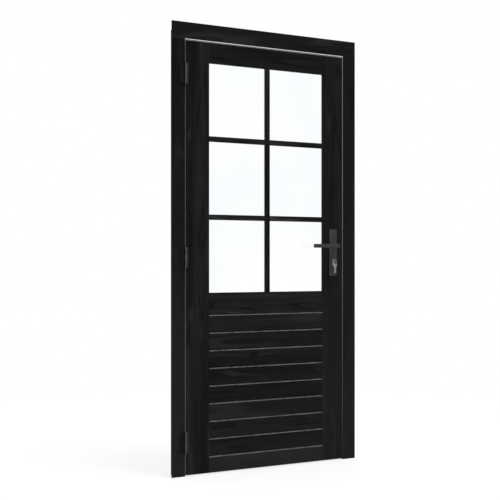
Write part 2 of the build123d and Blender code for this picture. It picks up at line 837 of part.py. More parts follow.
with BuildPart() as glazing_beads:
    for low, high, left, right in sights.values():
        sight = [Vector(left, low), Vector(right, low), Vector(right, high), Vector(left, high)]
        outward = [Vector(-1, -1), Vector(1, -1), Vector(1, 1), Vector(-1, 1)]
        rim = [corner + away * rebate_depth for corner, away in zip(sight, outward)]
        for here, there in ((0, 1), (1, 2), (2, 3), (3, 0)):
            trim = (rim[there] - rim[here]).normalized() * mitre_gap
            corners = [rim[here] + trim, rim[there] - trim, sight[there] - trim, sight[here] + trim]
            with BuildSketch(Plane.XZ.offset(-glass_back_y)):
                with BuildLine():
                    Polyline(*corners, close=True)
                make_face()
            extrude(amount=-bead_depth)
        cut_flare((left, right), (low, high), (glass_back_y + bead_toe, bar_back_y),
                  rebate_depth - bead_heel)
glazing_beads.part.label = "glazing_beads"
export_step(glazing_beads.part, "parts/glazing_beads.step")

# Lock case: a pressed box, open towards the forend, pierced for the follower and the cylinder and
# kept clear of the handle bolts
with BuildPart() as lock_case:
    block((case_back_x, case_front_x), (-case_half, case_half), (case_bottom, case_top))
    block((case_back_x + case_wall, case_front_x + overrun), (-cavity_half, cavity_half),
          (case_bottom + case_wall, case_top - case_wall), Mode.SUBTRACT)
    with BuildSketch(Plane.XZ):
        with Locations((spindle_x, handle_height)):
            Circle(follower_radius + running_fit)
        with Locations(*handle_bolt_places):
            Circle(handle_post_radius + pin_fit)
        draw_cylinder_profile(running_fit)
    extrude(amount=case_thickness, both=True, mode=Mode.SUBTRACT)
lock_case.part.label = "lock_case"
export_step(lock_case.part, "parts/lock_case.step")

# Forend: the plate on the leaf's edge that the bolts pass through
with BuildPart() as lock_forend:
    with BuildSketch(Plane.YZ.offset(case_front_x)):
        with Locations((0, forend_z)):
            Rectangle(forend_width, forend_height)
        with Locations((0, latch_z)):
            Rectangle(latch_thickness + 2 * lock_play, latch_height + 2 * lock_play, mode=Mode.SUBTRACT)
        with Locations((0, bolt_z)):
            Rectangle(latch_thickness + 2 * lock_play, bolt_height + 2 * lock_play, mode=Mode.SUBTRACT)
    extrude(amount=forend_thickness)
    with Locations(*forend_screw_planes):
        CounterSinkHole(
            screw_radius + pin_fit,
            screw_head_radius + pin_fit,
            depth=forend_thickness + overrun,
            counter_sink_angle=countersink_angle,
        )
    with Locations(cylinder_screw_plane):
        CounterSinkHole(
            cylinder_screw_radius + pin_fit,
            cylinder_screw_head + pin_fit,
            depth=forend_thickness + overrun,
            counter_sink_angle=countersink_angle,
        )
lock_forend.part.label = "lock_forend"
export_step(lock_forend.part, "parts/lock_forend.step")

with BuildPart() as forend_screws:
    add([plate_screw.moved(plane.location) for plane in forend_screw_planes])
forend_screws.part.label = "forend_screws"
export_step(forend_screws.part, "parts/forend_screws.step")

# Latch bolt: a bevelled head, and a tail whose lug lies in front of the follower's arm
latch_half = latch_thickness / 2
latch_nose_x = leaf_half + latch_throw
latch_back_x = latch_nose_x - latch_length
latch_top = latch_z + latch_height / 2
lug_front_x = spindle_x - follower_arm_tip - lock_play
with BuildPart() as latch_bolt:
    with BuildSketch(Plane.XY.offset(latch_z - latch_height / 2)):
        with BuildLine():
            Polyline(
                (latch_back_x, -latch_half),
                (latch_nose_x, -latch_half),
                (latch_nose_x, latch_nose_flat - latch_half),
                (leaf_half, latch_half),
                (latch_back_x, latch_half),
                close=True,
            )
        make_face()
    extrude(amount=latch_height)
    tail = (-latch_tail_thickness / 2, latch_tail_thickness / 2)
    block((lug_front_x - latch_lug_length, latch_back_x), tail, (latch_top - latch_tail_height, latch_top))
    block((lug_front_x - latch_lug_length, lug_front_x), tail,
          (latch_z - follower_arm_tip / 2, latch_top))
latch_bolt.part.label = "latch_bolt"
export_step(latch_bolt.part, "parts/latch_bolt.step")

# Latch spring: a folded strip between the back of the case and the latch's lug
spring_seat_x = case_back_x + case_wall + spring_thickness / 2
spring_tip_x = lug_front_x - latch_lug_length - spring_thickness
spring_top = latch_top
spring_fold = spring_top - spring_height
with BuildPart() as latch_spring:
    with BuildSketch(Plane.XZ):
        with BuildLine():
            Polyline((spring_seat_x, spring_top), (spring_seat_x, spring_fold), (spring_tip_x, spring_top))
        trace(line_width=spring_thickness)
    extrude(amount=latch_tail_thickness / 2, both=True)
latch_spring.part.label = "latch_spring"
export_step(latch_spring.part, "parts/latch_spring.step")

# Deadbolt, drawn back flush with the forend
with BuildPart() as deadbolt:
    with BuildSketch(Plane.XZ.offset(-latch_half)):
        with Locations((leaf_half - bolt_inset - bolt_length / 2, bolt_z)):
            Rectangle(bolt_length, bolt_height)
    extrude(amount=latch_thickness)
    nose = deadbolt.faces().sort_by(Axis.X)[-1].edges()
    chamfer(nose, bolt_inset)
deadbolt.part.label = "deadbolt"
export_step(deadbolt.part, "parts/deadbolt.step")

# Follower: a hub turned by the spindle, with one arm up to the latch's lug
with BuildPart() as lock_follower:
    with BuildSketch(Plane.XZ):
        with Locations((spindle_x, handle_height)):
            Circle(follower_radius)
    extrude(amount=case_half, both=True)
    with BuildSketch(Plane.XZ):
        with Locations((spindle_x, handle_height + follower_arm_reach / 2)):
            Rectangle(2 * follower_arm_tip, follower_arm_reach)
        with Locations((spindle_x, latch_z)):
            Circle(follower_arm_tip)
    extrude(amount=follower_arm_thickness / 2, both=True)
    with BuildSketch(Plane.XZ):
        with Locations((spindle_x, handle_height)):
            Rectangle(spindle_size + 2 * running_fit, spindle_size + 2 * running_fit)
    extrude(amount=case_thickness, both=True, mode=Mode.SUBTRACT)
lock_follower.part.label = "lock_follower"
export_step(lock_follower.part, "parts/lock_follower.step")

# Profile cylinder: the body is cut through in the middle, where the cam turns
with BuildPart() as cylinder_body:
    with BuildSketch(Plane.XZ):
        draw_cylinder_profile()
    extrude(amount=cylinder_half, both=True)
    with BuildSketch(Plane.XZ):
        with Locations((spindle_x, cylinder_z)):
            Circle(cam_reach + lock_play)
    extrude(amount=cam_thickness / 2 + running_fit, both=True, mode=Mode.SUBTRACT)
    with BuildSketch(Plane.XZ):
        with Locations((spindle_x, cylinder_z)):
            Circle(plug_radius + pin_fit)
    extrude(amount=cylinder_half + overrun, both=True, mode=Mode.SUBTRACT)
    with BuildSketch(Plane.YZ.offset(spindle_x)):
        with Locations((0, cylinder_z - cylinder_screw_drop)):
            Circle(cylinder_screw_radius + pin_fit)
    extrude(amount=profile_radius, both=True, mode=Mode.SUBTRACT)
cylinder_body.part.label = "cylinder_body"
export_step(cylinder_body.part, "parts/cylinder_body.step")

# The long screw that ties the cylinder to the forend
cylinder_tie = countersunk_screw(cylinder_screw_radius, cylinder_screw_head, backset + profile_lobe_radius)
with BuildPart() as cylinder_screw:
    add(cylinder_tie.moved(cylinder_screw_plane.location))
cylinder_screw.part.label = "cylinder_screw"
export_step(cylinder_screw.part, "parts/cylinder_screw.step")

# Plugs at both ends of the cylinder, each with a keyway, and the cam between them
keyway_width = key_thickness + 2 * running_fit
keyway_height = key_blade_height + 2 * running_fit
for place, side in (("outer", -1), ("inner", 1)):
    with BuildPart() as plug:
        with BuildSketch(Plane.XZ.offset(-side * cam_thickness / 2)):
            with Locations((spindle_x, cylinder_z)):
                Circle(plug_radius)
                Rectangle(keyway_width, keyway_height, mode=Mode.SUBTRACT)
        extrude(amount=-side * (cylinder_half - cam_thickness / 2))
    plug.part.label = f"{place}_plug"
    export_step(plug.part, f"parts/{place}_plug.step")

with BuildPart() as cylinder_cam:
    with BuildSketch(Plane.XZ):
        with Locations((spindle_x, cylinder_z)):
            Circle(cam_ring_radius)
        with Locations((spindle_x, cylinder_z - cam_reach / 2)):
            Rectangle(cam_lobe_width, cam_reach)
        with Locations((spindle_x, cylinder_z)):
            Circle(cam_reach, mode=Mode.INTERSECT)
    extrude(amount=cam_thickness / 2, both=True)
cylinder_cam.part.label = "cylinder_cam"
export_step(cylinder_cam.part, "parts/cylinder_cam.step")

# Keys: one stands in the outer plug, the other hangs from its bow on a ring
bow_y = -cylinder_half - key_neck - key_bow_radius
bow_hole_y = bow_y - key_hole_offset
ring_drop = key_hole_radius - key_ring_wire - pin_fit
ring_z = cylinder_z - ring_drop - key_ring_radius
spare_hole_z = ring_z - key_ring_radius - ring_drop
spare_bow_z = spare_hole_z - key_hole_offset
spare_tip_z = cylinder_z - spare_key_reach
key_half = key_thickness / 2

with BuildPart() as lock_key:
    with BuildSketch(Plane.YZ.offset(spindle_x)):
        with Locations((bow_y, cylinder_z)):
            Circle(key_bow_radius)
        with Locations(((bow_y + key_blade_length - cylinder_half) / 2, cylinder_z)):
            Rectangle(key_blade_length - cylinder_half - bow_y, key_blade_height)
        with Locations((bow_hole_y, cylinder_z)):
            Circle(key_hole_radius, mode=Mode.SUBTRACT)
    extrude(amount=key_half, both=True)
lock_key.part.label = "lock_key"
export_step(lock_key.part, "parts/lock_key.step")

with BuildPart() as key_ring:
    with BuildSketch(Plane((spindle_x, bow_hole_y, ring_z), (1, 0, 0), (0, 0, 1))):
        with Locations((key_ring_radius, 0)):
            Circle(key_ring_wire)
    revolve(axis=Axis((spindle_x, bow_hole_y, ring_z), (0, 1, 0)))
key_ring.part.label = "key_ring"
export_step(key_ring.part, "parts/key_ring.step")

with BuildPart() as spare_key:
    with BuildSketch(Plane.YZ.offset(spindle_x)):
        with Locations((bow_hole_y, spare_bow_z)):
            Circle(key_bow_radius)
        with Locations((bow_hole_y, (spare_bow_z + spare_tip_z) / 2)):
            Rectangle(key_blade_height, spare_bow_z - spare_tip_z)
        with Locations((bow_hole_y, spare_hole_z)):
            Circle(key_hole_radius, mode=Mode.SUBTRACT)
    extrude(amount=key_half, both=True)
spare_key.part.label = "spare_key"
export_step(spare_key.part, "parts/spare_key.step")

handle_bolt_planes = [Plane((x, plate_face_y, z), (1, 0, 0), (0, 1, 0)) for x, z in handle_bolt_places]

# Handle plates on both faces; the front one has the lever's bore and posts for the bolts of the
# back one
for place, side in (("outer", -1), ("inner", 1)):
    with BuildPart() as handle_plate:
        with BuildSketch(Plane.XZ.offset(-side * back_y)):
            with Locations((spindle_x, plate_z)):
                RectangleRounded(handle_plate_width, handle_plate_height, handle_plate_corner)
        extrude(amount=-side * handle_plate_thickness)
        face_rim = handle_plate.faces().sort_by(Axis.Y)[-1 if side > 0 else 0].edges()
        fillet(face_rim, handle_plate_edge)
        if place == "outer":
            with BuildSketch(Plane.XZ.offset(-side * back_y)):
                with Locations(*handle_bolt_places):
                    Circle(handle_post_radius)
            extrude(amount=side * handle_post_length)
            with BuildSketch(Plane.XZ.offset(-side * (back_y - handle_post_length))):
                with Locations(*handle_bolt_places):
                    Circle(handle_bolt_radius + pin_fit)
            extrude(amount=-side * handle_post_length, mode=Mode.SUBTRACT)
        else:
            with Locations(*handle_bolt_planes):
                CounterSinkHole(
                    handle_bolt_radius + pin_fit,
                    handle_bolt_head + pin_fit,
                    depth=handle_plate_thickness + overrun,
                    counter_sink_angle=countersink_angle,
                )
        with BuildSketch(Plane.XZ.offset(-side * back_y)):
            if place == "outer":
                with Locations((spindle_x, handle_height)):
                    Circle(lever_neck_radius + running_fit)
            draw_cylinder_profile(running_fit)
        extrude(amount=-side * (handle_plate_thickness + overrun), mode=Mode.SUBTRACT)
    handle_plate.part.label = f"{place}_handle_plate"
    export_step(handle_plate.part, f"parts/{place}_handle_plate.step")

handle_bolt = countersunk_screw(
    handle_bolt_radius, handle_bolt_head, leaf_thickness + handle_plate_thickness - hole_room
)
with BuildPart() as handle_bolts:
    add([handle_bolt.moved(plane.location) for plane in handle_bolt_planes])
handle_bolts.part.label = "handle_bolts"
export_step(handle_bolts.part, "parts/handle_bolts.step")

# Lever in front: a round neck through the plate and a flat bar towards the middle of the leaf
lever_bar_y = plate_face_y + lever_projection - lever_thickness
grub_y = -(plate_face_y + lever_bar_y) / 2
with BuildPart() as outer_lever:
    with BuildSketch(Plane.XZ.offset(lever_bar_y)) as bar_outline:
        with Locations((spindle_x - lever_length / 2, handle_height)):
            Rectangle(lever_length, lever_height)
        fillet(bar_outline.vertices().group_by(Axis.X)[0], lever_tip_corner)
        with Locations((spindle_x, handle_height)):
            Circle(lever_height / 2)
    extrude(amount=lever_thickness)
    bar_rims = outer_lever.edges().group_by(Axis.Y)
    fillet(bar_rims[0] + bar_rims[-1], lever_edge)
    with BuildSketch(Plane.XZ.offset(back_y)):
        with Locations((spindle_x, handle_height)):
            Circle(lever_neck_radius)
    extrude(amount=lever_bar_y - back_y + lever_edge)
    with BuildSketch(Plane.XZ.offset(back_y)):
        with Locations((spindle_x, handle_height)):
            Rectangle(spindle_size + 2 * running_fit, spindle_size + 2 * running_fit)
    extrude(amount=lever_bar_y - back_y, mode=Mode.SUBTRACT)
    with BuildSketch(Plane.XY.offset(handle_height - lever_neck_radius)):
        with Locations((spindle_x, grub_y)):
            Circle(grub_radius + pin_fit)
    extrude(amount=lever_neck_radius, mode=Mode.SUBTRACT)
outer_lever.part.label = "outer_lever"
export_step(outer_lever.part, "parts/outer_lever.step")

# Pull handle behind: a bent bar that doesn't turn, with both feet on the back plate
pull_y = plate_face_y + lever_projection - pull_radius
pull_low = (spindle_x, plate_face_y, handle_height - pull_below)
pull_high = (spindle_x, plate_face_y, handle_height + pull_above)
with BuildPart() as pull_handle:
    with BuildLine() as pull_path:
        FilletPolyline(
            pull_low,
            (spindle_x, pull_y, handle_height - pull_below),
            (spindle_x, pull_y, handle_height + pull_above),
            pull_high,
            radius=pull_bend,
        )
    with BuildSketch(Plane(pull_low, (1, 0, 0), (0, 1, 0))):
        Circle(pull_radius)
    sweep(path=pull_path.line)
pull_handle.part.label = "pull_handle"
export_step(pull_handle.part, "parts/pull_handle.step")

# Spindle: from the lever through the follower to the far wall of the case
with BuildPart() as lever_spindle:
    with BuildSketch(Plane.XZ.offset(-case_half)):
        with Locations((spindle_x, handle_height)):
            Rectangle(spindle_size, spindle_size)
    extrude(amount=case_half + lever_bar_y - running_fit)
lever_spindle.part.label = "lever_spindle"
export_step(lever_spindle.part, "parts/lever_spindle.step")

# Grub screw that holds the lever on the spindle, from below
grub_length = lever_neck_radius - spindle_size / 2 - running_fit
with BuildPart() as lever_grub_screw:
    with BuildSketch(Plane.XY.offset(handle_height - spindle_size / 2)):
        with Locations((spindle_x, grub_y)):
            Circle(grub_radius)
    extrude(amount=-grub_length)
lever_grub_screw.part.label = "lever_grub_screw"
export_step(lever_grub_screw.part, "parts/lever_grub_screw.step")
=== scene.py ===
import math

import bmesh
import bpy
from mathutils import Matrix, Vector


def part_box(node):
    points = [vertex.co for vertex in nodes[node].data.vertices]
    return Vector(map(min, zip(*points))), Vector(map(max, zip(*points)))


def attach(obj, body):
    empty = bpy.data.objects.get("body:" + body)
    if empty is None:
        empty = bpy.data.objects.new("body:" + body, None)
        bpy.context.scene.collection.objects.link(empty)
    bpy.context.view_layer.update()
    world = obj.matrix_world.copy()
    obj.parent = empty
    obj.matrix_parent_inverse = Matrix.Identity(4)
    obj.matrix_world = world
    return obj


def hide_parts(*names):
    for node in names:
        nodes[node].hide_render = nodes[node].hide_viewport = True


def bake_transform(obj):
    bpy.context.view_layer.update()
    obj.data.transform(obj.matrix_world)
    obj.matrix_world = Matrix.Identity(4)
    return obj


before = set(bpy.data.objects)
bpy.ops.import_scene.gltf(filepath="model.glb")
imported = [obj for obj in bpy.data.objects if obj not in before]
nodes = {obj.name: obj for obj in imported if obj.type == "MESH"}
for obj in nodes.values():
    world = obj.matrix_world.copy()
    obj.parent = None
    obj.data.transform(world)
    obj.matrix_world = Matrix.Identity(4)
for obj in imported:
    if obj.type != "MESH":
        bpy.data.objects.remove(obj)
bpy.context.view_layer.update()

# Jambs and head: the frame that is fixed in the wall opening, planed from softwood and sprayed
# black, so that the grain still shows as faint streaks. The head lies on both jambs and is
# screwed down to them.


class Shade:
    """One output in a node tree. Sums with it add Math nodes, and node() adds any other."""

    def __init__(self, tree, output=None):
        self.tree = tree
        self.output = output

    def node(self, kind, settings=None, sockets=None, output=0):
        """A new node: its settings are set first, then its sockets get their values or links."""
        made = self.tree.nodes.new(kind)
        for name, value in (settings or {}).items():
            setattr(made, name, value)
        for name, value in (sockets or {}).items():
            if isinstance(value, Shade):
                self.tree.links.new(value.output, made.inputs[name])
            else:
                made.inputs[name].default_value = value
        return Shade(self.tree, made.outputs[output]) if made.outputs else None

    def sum(self, operation, first, second):
        return self.node("ShaderNodeMath", {"operation": operation}, {0: first, 1: second})

    def __add__(self, other):
        return self.sum("ADD", self, other)

    def __sub__(self, other):
        return self.sum("SUBTRACT", self, other)

    def __rsub__(self, other):
        return self.sum("SUBTRACT", other, self)

    def __mul__(self, other):
        return self.sum("MULTIPLY", self, other)

    __radd__ = __add__
    __rmul__ = __mul__

    def blend(self, low, high):
        """A colour between two others, with this value as the share of the second."""
        return self.node("ShaderNodeMix", {"data_type": "RGBA"}, {0: self, 6: low, 7: high}, 2)

    def between(self, low, high, start=0.0, end=1.0):
        """This value's span from low to high, spread evenly from start to end."""
        return self.node("ShaderNodeMapRange", {}, {0: self, 1: low, 2: high, 3: start, 4: end})


def new_finish(name):
    """An empty material, and the Shade that starts its node tree."""
    material = bpy.data.materials.new(name)
    material.use_nodes = True
    material.node_tree.nodes.clear()
    return material, Shade(material.node_tree)


def set_surface(start, sockets):
    """Ends a material's tree in one surface shader with these values or links."""
    shader = start.node("ShaderNodeBsdfPrincipled", {}, sockets)
    start.node("ShaderNodeOutputMaterial", {}, {"Surface": shader})


def noise(vector, scale, detail, roughness=0.5, distortion=0.0):
    """Soft noise from 0 to 1 with this many features to the metre."""
    sockets = {
        "Vector": vector,
        "Scale": scale,
        "Detail": detail,
        "Roughness": roughness,
        "Distortion": distortion,
    }
    return vector.node("ShaderNodeTexNoise", {}, sockets)


def bumps(height, strength, depth):
    """Turns a height into a normal; depth is in metres."""
    sockets = {"Height": height, "Strength": strength, "Distance": depth}
    return height.node("ShaderNodeBump", {}, sockets)


noise_middle = (0.3, 0.7)
paint_dark = (0.0017, 0.0017, 0.0018, 1)
paint_light = (0.0078, 0.0078, 0.0080, 1)
paint_knot = (0.0007, 0.0007, 0.0008, 1)
paint_flame = (0.0150, 0.0150, 0.0153, 1)
# A painted highlight: light grey laid on upward arrises, where overhead light would catch them.
paint_arris_highlight = (0.128, 0.128, 0.128, 1)
# A lighter grey that the paint turns towards the foot.
paint_foot_grey = (0.040, 0.040, 0.040, 1)
paint_gloss = 0.05
paint_roughness = (0.36, 0.48)
grain_stretch = 0.045
figure_stretch = 0.13
knot_stretch = 0.5
bands_per_metre = 9
band_span = (0.4, 0.66)
band_share = 0.4
streaks_per_metre = 26
streak_span = (0.35, 0.75)
streak_share = 0.35
fibres_per_metre = 330
fibre_span = (0.35, 0.7)
fibre_share = 0.25
tone_span = (0.15, 0.85)
figures_per_metre = 15
figure_waviness = 1.6
dark_figure = (0.58, 0.68)
dark_figure_share = 0.8
flame_figure = (0.42, 0.34)
flame_share = 0.5
knots_per_metre = 5.0
knot_edge = (0.04, 0.085)
foot_grey_height = 1.85
foot_grey_patches_per_metre = 14
foot_grey_patch_levels = (0.75, 1.0)
# Where the painted arris highlight lies, and in what patches.
arris_begins = (0.35, 0.6)
arris_ends = (0.8, 0.95)
arris_highlight_patches_per_metre = 34
arris_highlight_noise_span = (0.25, 0.65)
arris_highlight_patch_levels = (0.35, 1.0)
grain_rise = 0.5
knot_sink = 0.4
grain_strength = 0.35
grain_depth = 0.00025


# Painted light and shade: one paint made lighter or darker per piece for how brightly it is lit.
def lifted(colour, piece_lighting):
    """A colour made lighter or darker by this factor."""
    return tuple(level * piece_lighting for level in colour[:3]) + (1,)


def painted_timber(name, along, shift, piece_lighting, dust_and_foot_grey, arris_highlight_share):
    """Black paint over timber with its grain along X or Z: shift picks a stretch of it, the
    lighting factor makes the piece lighter or darker as painted light and shade, the fifth argument
    is the share of a lighter grey at floor level, thinning out upwards, and the last is the share
    of a painted highlight laid in light grey on its upward arrises."""
    material, start = new_finish(name)
    place = start.node("ShaderNodeTexCoord", {}, {}, "Object")
    moved = (shift, shift / 2, -shift)
    stretched = []
    for stretch in (grain_stretch, figure_stretch, knot_stretch):
        scale = (stretch, 1, 1) if along == "X" else (1, 1, stretch)
        sockets = {"Vector": place, "Scale": scale, "Location": moved}
        stretched.append(start.node("ShaderNodeMapping", {}, sockets))
    drawn, waved, round_grain = stretched

    bands = noise(drawn, bands_per_metre, detail=2, distortion=0.4)
    streaks = noise(drawn, streaks_per_metre, detail=3, roughness=0.55, distortion=0.6)
    fibres = noise(drawn, fibres_per_metre, detail=4, roughness=0.6)
    figure = noise(waved, figures_per_metre, detail=2, distortion=figure_waviness)
    sockets = {"Vector": round_grain, "Scale": knots_per_metre}
    cells = start.node("ShaderNodeTexVoronoi", {}, sockets, "Distance")
    knots = 1 - cells.between(*knot_edge)

    tone = bands.between(*band_span) * band_share + streaks.between(*streak_span) * streak_share
    tone = (tone + fibres.between(*fibre_span) * fibre_share).between(*tone_span)
    plain = tone.blend(lifted(paint_dark, piece_lighting), lifted(paint_light, piece_lighting))
    flames = figure.between(*flame_figure, 0.0, flame_share)
    paint = flames.blend(plain, lifted(paint_flame, piece_lighting))
    strokes = start.sum("MAXIMUM", knots, figure.between(*dark_figure) * dark_figure_share)
    paint = strokes.blend(paint, paint_knot)

    # Lighter towards the foot, in patches, thinning out upwards.
    height = start.node("ShaderNodeSeparateXYZ", {}, {0: place}, "Z")
    patches = noise(place, foot_grey_patches_per_metre, detail=3).between(*noise_middle, *foot_grey_patch_levels)
    paint = (height.between(0.0, foot_grey_height, dust_and_foot_grey, 0.0) * patches).blend(paint, paint_foot_grey)
    facing = start.node("ShaderNodeTexCoord", {}, {}, "Normal")
    upward = start.node("ShaderNodeSeparateXYZ", {}, {0: facing}, "Z")
    # Painted highlight: upward-facing arrises are lightened in patches, as overhead light would
    # light them.
    arris = upward.between(*arris_begins) * upward.between(*arris_ends, 1.0, 0.0)
    arris_highlight_noise = noise(place, arris_highlight_patches_per_metre, detail=3, roughness=0.6)
    highlight_patches = arris_highlight_noise.between(*arris_highlight_noise_span, *arris_highlight_patch_levels)
    raised = fibres * grain_rise + streaks * grain_rise - knots * knot_sink
    set_surface(start, {
        "Base Color": (arris * highlight_patches * arris_highlight_share).blend(paint, paint_arris_highlight),
        "Roughness": streaks.between(*noise_middle, *paint_roughness),
        "Specular IOR Level": paint_gloss,
        "Normal": bumps(raised, grain_strength, grain_depth),
    })
    return material


def dress(node, material):
    """Gives a CAD node its finish."""
    mesh = nodes[node].data
    mesh.materials.clear()
    mesh.materials.append(material)


# Rows: grain, shift, lighting factor (painted light and shade per piece), lighter grey at the foot.
frame_grains = {
    "hinge_jamb": ("Z", 1.3, 0.45, 0.26),
    "lock_jamb": ("Z", 4.1, 0.5, 0.17),
    "frame_head": ("X", 7.7, 1.0, 0.0),
}
# The share of painted highlight on the frame's upward arrises.
frame_arris_highlight = 0.3
for node, (along, shift, piece_lighting, dust_and_foot_grey) in frame_grains.items():
    dress(node, painted_timber(f"{node}_paint", along, shift, piece_lighting, dust_and_foot_grey, frame_arris_highlight))

# Corner screws: countersunk steel screws with a cross recess, driven down through the head into
# each jamb. The same screws, shorter, hold the plates further down.
corner_screw_head = 0.005
corner_screw_shank = 0.0025
merge_reach = 0.00001
rim_points = 28
recess_reach = 0.62
recess_half = 0.15
recess_depth = 0.55
recess_taper = 0.72
steel_dark = (0.42, 0.42, 0.43, 1)
steel_light = (0.62, 0.62, 0.63, 1)
steel_span = (0.35, 0.65)
steel_clouds_per_metre = 60
steel_cloud_share = 0.4
steel_roughness = (0.26, 0.4)
brushing_per_metre = 1800
brushing_stretch = 0.03
brushing_share = 0.6
brushing_strength = 0.15
brushing_depth = 0.0001


def brushed_steel(name):
    """Steel with brushing that runs up and down."""
    material, start = new_finish(name)
    place = start.node("ShaderNodeTexCoord", {}, {}, "Object")
    sockets = {"Vector": place, "Scale": (1, 1, brushing_stretch)}
    brushing = noise(start.node("ShaderNodeMapping", {}, sockets), brushing_per_metre, detail=3)
    cloud = noise(place, steel_clouds_per_metre, detail=3)
    tone = (brushing * brushing_share + cloud * steel_cloud_share).between(*steel_span)
    set_surface(start, {
        "Base Color": tone.blend(steel_dark, steel_light),
        "Metallic": 1.0,
        "Roughness": brushing.between(*noise_middle, *steel_roughness),
        "Normal": bumps(brushing, brushing_strength, brushing_depth),
    })
    return material


def solid_boxes(node):
    """Lowest and highest corner of each separate solid in a CAD node."""
    copy = bmesh.new()
    copy.from_mesh(nodes[node].data)
    bmesh.ops.remove_doubles(copy, verts=copy.verts, dist=merge_reach)
    seen = set()
    boxes = []
    for first in copy.verts:
        if first in seen:
            continue
        seen.add(first)
        solid = [first]
        for vertex in solid:
            for edge in vertex.link_edges:
                other = edge.other_vert(vertex)
                if other not in seen:
                    seen.add(other)
                    solid.append(other)
        spans = [[vertex.co[axis] for vertex in solid] for axis in range(3)]
        boxes.append((Vector([min(span) for span in spans]), Vector([max(span) for span in spans])))
    copy.free()
    return boxes


def new_piece(name, mesh, finish, body, slot, *replaced):
    """Makes an object of a bmesh, puts it on its body if it has one, and hides the nodes it
    replaces.
    """
    data = bpy.data.meshes.new(name)
    mesh.to_mesh(data)
    mesh.free()
    data.materials.append(finish)
    piece = bpy.data.objects.new(name, data)
    bpy.context.scene.collection.objects.link(piece)
    if body:
        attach(piece, body)
    if replaced:
        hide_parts(*replaced)
    return piece


def recessed_screw(mesh, seat, facing, head, shank, length):
    """Adds a countersunk screw with a cross recess, its head flush at seat and facing that way."""
    disc = bmesh.ops.create_circle(mesh, cap_ends=True, segments=rim_points, radius=head)
    verts = disc["verts"]
    faces = list({face for vertex in verts for face in vertex.link_faces})
    for reach in (recess_half * head, recess_reach * head):
        for axis in (Vector((1, 0, 0)), Vector((0, 1, 0))):
            for side in (-1, 1):
                geometry = faces + list({edge for face in faces for edge in face.edges})
                geometry += list({vertex for face in faces for vertex in face.verts})
                cut = bmesh.ops.bisect_plane(
                    mesh, geom=geometry, plane_co=axis * side * reach, plane_no=axis
                )
                faces = [item for item in cut["geom"] if isinstance(item, bmesh.types.BMFace)]
    edges = {edge for face in faces for edge in face.edges}
    rim = [edge for edge in edges if len(edge.link_faces) == 1]
    cross = []
    for face in faces:
        across, along = sorted(abs(value) for value in face.calc_center_median()[:2])
        if across < recess_half * head and along < recess_reach * head:
            cross.append(face)
    sunk = bmesh.ops.extrude_face_region(mesh, geom=cross)["geom"]
    sunk_verts = [item for item in sunk if isinstance(item, bmesh.types.BMVert)]
    bmesh.ops.delete(mesh, geom=cross, context="FACES_ONLY")
    bmesh.ops.scale(mesh, vec=(recess_taper, recess_taper, 1), verts=sunk_verts)
    bmesh.ops.translate(mesh, vec=(0, 0, -recess_depth * head), verts=sunk_verts)
    made = set(verts) | set(sunk_verts)
    made |= {vertex for face in faces if face.is_valid for vertex in face.verts}
    for radius, level in ((shank, shank - head), (shank, 2 * shank - length), (0.0, -length)):
        ring = bmesh.ops.extrude_edge_only(mesh, edges=rim)["geom"]
        rim = [item for item in ring if isinstance(item, bmesh.types.BMEdge)]
        ring_verts = [item for item in ring if isinstance(item, bmesh.types.BMVert)]
        for vertex in ring_verts:
            flat = Vector((vertex.co.x, vertex.co.y, 0))
            vertex.co = flat.normalized() * radius + Vector((0, 0, level))
        made.update(ring_verts)
    made = [vertex for vertex in made if vertex.is_valid]
    turn = facing.to_track_quat("Z", "Y").to_matrix().to_4x4()
    bmesh.ops.transform(mesh, matrix=Matrix.Translation(seat) @ turn, verts=made)


def recessed_screws(name, node, facing, head, shank, finish, body, slot):
    """Stands recessed screws in the places of a CAD node's plain ones; sizes are in metres."""
    facing = Vector(facing)
    mesh = bmesh.new()
    for low, high in solid_boxes(node):
        length = abs((high - low).dot(facing))
        seat = (low + high) / 2 + facing * length / 2
        recessed_screw(mesh, seat, facing, head, shank, length)
    bmesh.ops.remove_doubles(mesh, verts=mesh.verts, dist=merge_reach)
    bmesh.ops.recalc_face_normals(mesh, faces=mesh.faces)
    new_piece(name, mesh, finish, body, slot, node)


lock_steel = brushed_steel("lock_steel_brushed")
recessed_screws("head_corner_screws", "frame_corner_screws", (0, 0, 1), corner_screw_head,
                corner_screw_shank, lock_steel, "frame", "lock_steel")

# Draught seals: strips of pale rubber, stuck round the opening just behind the leaf's front, where
# they show in the gap as a light line. The strip under the head is painted near white as a
# highlight, and the side strips are painted in shade and light: the lock side's darker towards the
# foot, the hinge side's lighter towards it.
seal_painted_shade = (0.025, 0.025, 0.025, 1)
seal_lit_grey = (0.25, 0.25, 0.25, 1)
seal_painted_highlight = (0.88, 0.88, 0.87, 1)
seal_middle = (-0.1, 0.1)
lock_strip_shade_span = (0.0, 1.25)
hinge_strip_light_span = (0.3, 2.0)
hinge_strip_light_levels = (1.0, 0.6)
head_strip = (2.017, 2.020)
seal_dust_per_metre = 90
seal_dust = (-0.1, 0.1)
seal_roughness = (0.6, 0.8)
seal_pores_per_metre = 1500
seal_pore_strength = 0.2
seal_pore_depth = 0.0001
seal_rubber, start = new_finish("seal_rubber")
place = start.node("ShaderNodeTexCoord", {}, {}, "Object")
height = start.node("ShaderNodeSeparateXYZ", {}, {0: place}, "Z")
across = start.node("ShaderNodeSeparateXYZ", {}, {0: place}, "X")
dust_and_foot_grey = noise(place, seal_dust_per_metre, detail=4, roughness=0.6)
hinge_side = across.between(*seal_middle, 1.0, 0.0)
lock_strip = height.between(*lock_strip_shade_span)
hinge_strip = height.between(*hinge_strip_light_span, *hinge_strip_light_levels)
